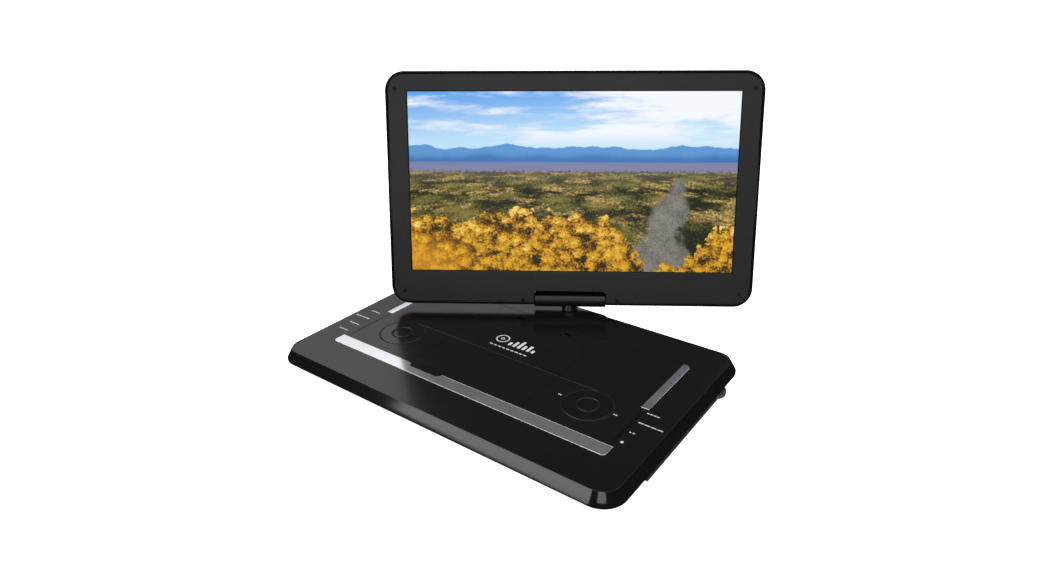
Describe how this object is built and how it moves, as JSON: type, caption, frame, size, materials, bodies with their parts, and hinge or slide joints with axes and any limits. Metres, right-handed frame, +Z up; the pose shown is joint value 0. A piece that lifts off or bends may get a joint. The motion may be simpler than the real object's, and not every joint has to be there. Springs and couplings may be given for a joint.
{
  "type": "portable disc player",
  "caption": "Portable disc player: flat glossy base with round control pads and a disc door, and a wide screen lid on a swivel-and-tilt hinge.",
  "frame": {"origin": "middle of the base in plan, on the plane the rubber feet stand on", "axes": "+X to the right of a viewer facing the deck, +Y from the front edge to the hinge, +Z up"},
  "size_m": [0.3905, 0.3939, 0.2749],
  "materials": {
    "battery_wrap": "shrink-wrapped cells",
    "black_buttons": "satin black button plastic",
    "black_metal": "black painted metal",
    "bright_trim": "bright plated strip",
    "circuit_board": "green circuit board",
    "gloss_shell": "glossy black moulded plastic",
    "grey_control": "grey ribbed plastic",
    "inner_plastic": "dark grey inner moulding",
    "lens_glass": "clear lens",
    "light_guide": "pale backlight stack",
    "rubber_pad": "matt black rubber",
    "satin_bezel": "satin dark grey plastic",
    "screen_glass": "polished display panel, lit",
    "socket_plastic": "black moulded socket",
    "steel": "bright steel",
    "under_shell": "fine-textured black plastic"
  },
  "bodies": {
    "base": {"base_top_cover": "gloss_shell", "base_bottom_cover": "under_shell", "deck_panel": "gloss_shell", "front_trim": "bright_trim", "right_trim": "bright_trim", "left_trim": "bright_trim", "disc_tray": "inner_plastic", "door_pins": "steel", "status_window": "gloss_shell", "rubber_feet": "rubber_pad", "base_screws": "steel", "main_board": "circuit_board", "key_boards": "circuit_board", "pad_boards": "circuit_board", "battery_pack": "battery_wrap", "speakers": "socket_plastic", "usb_socket": "steel", "card_slot": "socket_plastic", "dc_jack": "socket_plastic", "dc_pin": "steel", "av_jack": "socket_plastic", "headphone_jack": "socket_plastic", "power_switch_housing": "socket_plastic", "volume_pot": "socket_plastic", "loader_frame": "black_metal", "guide_rods": "steel", "sled_motor": "steel", "spindle_motor": "steel"},
    "door": {"disc_door": "gloss_shell"},
    "opener": {"open_button": "black_buttons"},
    "switch": {"power_switch": "grey_control"},
    "volume": {"volume_wheel": "grey_control"},
    "screw": {"lead_screw": "steel"},
    "sled": {"laser_sled": "inner_plastic", "sled_lens": "lens_glass"},
    "turntable": {"turntable_hub": "inner_plastic"},
    "nav_outer": {"nav_ring": "black_buttons"},
    "nav_middle": {"nav_button": "black_buttons"},
    "play_outer": {"play_ring": "black_buttons"},
    "play_middle": {"play_button": "black_buttons"},
    "swivel": {"hinge_barrel": "gloss_shell", "swivel_shaft": "steel", "swivel_washer": "steel", "swivel_nut": "steel"},
    "lid": {"lid_back_cover": "gloss_shell", "lid_bezel": "satin_bezel", "lid_bumpers": "rubber_pad", "lcd_panel": "screen_glass", "backlight_unit": "light_guide", "driver_board": "circuit_board", "hinge_brackets": "steel", "lid_screws": "steel"},
    "body_left_key_one": {"left_key_one": "black_buttons"},
    "body_left_key_two": {"left_key_two": "black_buttons"},
    "body_left_key_three": {"left_key_three": "black_buttons"},
    "body_left_key_four": {"left_key_four": "black_buttons"},
    "body_right_key_one": {"right_key_one": "black_buttons"},
    "body_right_key_two": {"right_key_two": "black_buttons"},
    "body_right_key_three": {"right_key_three": "black_buttons"},
    "body_right_key_four": {"right_key_four": "black_buttons"}
  },
  "joints": [
    {"name": "screen_swivel", "type": "hinge", "parent": "base", "child": "swivel", "pos_m": [0, 0.1142, 0.0385], "axis": [0, 0, -1], "range_deg": [-146.62, 33.38]},
    {"name": "screen_tilt", "type": "hinge", "parent": "swivel", "child": "lid", "pos_m": [0, 0.1142, 0.0385], "axis": [-0.835, -0.5502, 0], "range_deg": [-103.65, 76.35]},
    {"name": "disc_door_hinge", "type": "hinge", "parent": "base", "child": "door", "pos_m": [0, 0.062, 0.0235], "axis": [-1, 0, 0], "range_deg": [0, 50]},
    {"name": "open_button_press", "type": "slide", "parent": "base", "child": "opener", "axis": [0, 0, -1], "range_m": [0, 0.0012], "stiffness_N_per_m": 800},
    {"name": "power_switch_slide", "type": "slide", "parent": "base", "child": "switch", "axis": [0, 1, 0], "range_m": [0, 0.004]},
    {"name": "volume_wheel_turn", "type": "hinge", "parent": "base", "child": "volume", "pos_m": [0.1845, 0.078, 0.0104], "axis": [0, 0, 1], "range_deg": [-150, 150]},
    {"name": "lead_screw_spin", "type": "hinge", "parent": "base", "child": "screw", "pos_m": [0.03, 0.019, 0.011], "axis": [1, 0, 0], "range_deg": [0, 2880]},
    {"name": "sled_slide", "type": "slide", "parent": "base", "child": "sled", "axis": [1, 0, 0], "range_m": [0, 0.032]},
    {"name": "turntable_spin", "type": "hinge", "parent": "base", "child": "turntable", "pos_m": [0, -0.005, 0.0196], "axis": [0, 0, 1], "continuous": true},
    {"name": "nav_ring_press", "type": "slide", "parent": "base", "child": "nav_outer", "axis": [0, 0, -1], "range_m": [0, 0.0006], "stiffness_N_per_m": 700},
    {"name": "nav_button_press", "type": "slide", "parent": "base", "child": "nav_middle", "axis": [0, 0, -1], "range_m": [0, 0.0006], "stiffness_N_per_m": 700},
    {"name": "play_ring_press", "type": "slide", "parent": "base", "child": "play_outer", "axis": [0, 0, -1], "range_m": [0, 0.0006], "stiffness_N_per_m": 700},
    {"name": "play_button_press", "type": "slide", "parent": "base", "child": "play_middle", "axis": [0, 0, -1], "range_m": [0, 0.0006], "stiffness_N_per_m": 700},
    {"name": "left_key_one_press", "type": "slide", "parent": "base", "child": "body_left_key_one", "axis": [0, 0, -1], "range_m": [0, 0.0006], "stiffness_N_per_m": 500},
    {"name": "left_key_two_press", "type": "slide", "parent": "base", "child": "body_left_key_two", "axis": [0, 0, -1], "range_m": [0, 0.0006], "stiffness_N_per_m": 500},
    {"name": "left_key_three_press", "type": "slide", "parent": "base", "child": "body_left_key_three", "axis": [0, 0, -1], "range_m": [0, 0.0006], "stiffness_N_per_m": 500},
    {"name": "left_key_four_press", "type": "slide", "parent": "base", "child": "body_left_key_four", "axis": [0, 0, -1], "range_m": [0, 0.0006], "stiffness_N_per_m": 500},
    {"name": "right_key_one_press", "type": "slide", "parent": "base", "child": "body_right_key_one", "axis": [0, 0, -1], "range_m": [0, 0.0006], "stiffness_N_per_m": 500},
    {"name": "right_key_two_press", "type": "slide", "parent": "base", "child": "body_right_key_two", "axis": [0, 0, -1], "range_m": [0, 0.0006], "stiffness_N_per_m": 500},
    {"name": "right_key_three_press", "type": "slide", "parent": "base", "child": "body_right_key_three", "axis": [0, 0, -1], "range_m": [0, 0.0006], "stiffness_N_per_m": 500},
    {"name": "right_key_four_press", "type": "slide", "parent": "base", "child": "body_right_key_four", "axis": [0, 0, -1], "range_m": [0, 0.0006], "stiffness_N_per_m": 500}
  ],
  "couplings": [
    {"joint": "lead_screw_spin", "follows": "sled_slide", "rad_per_m": 1570.8}
  ]
}
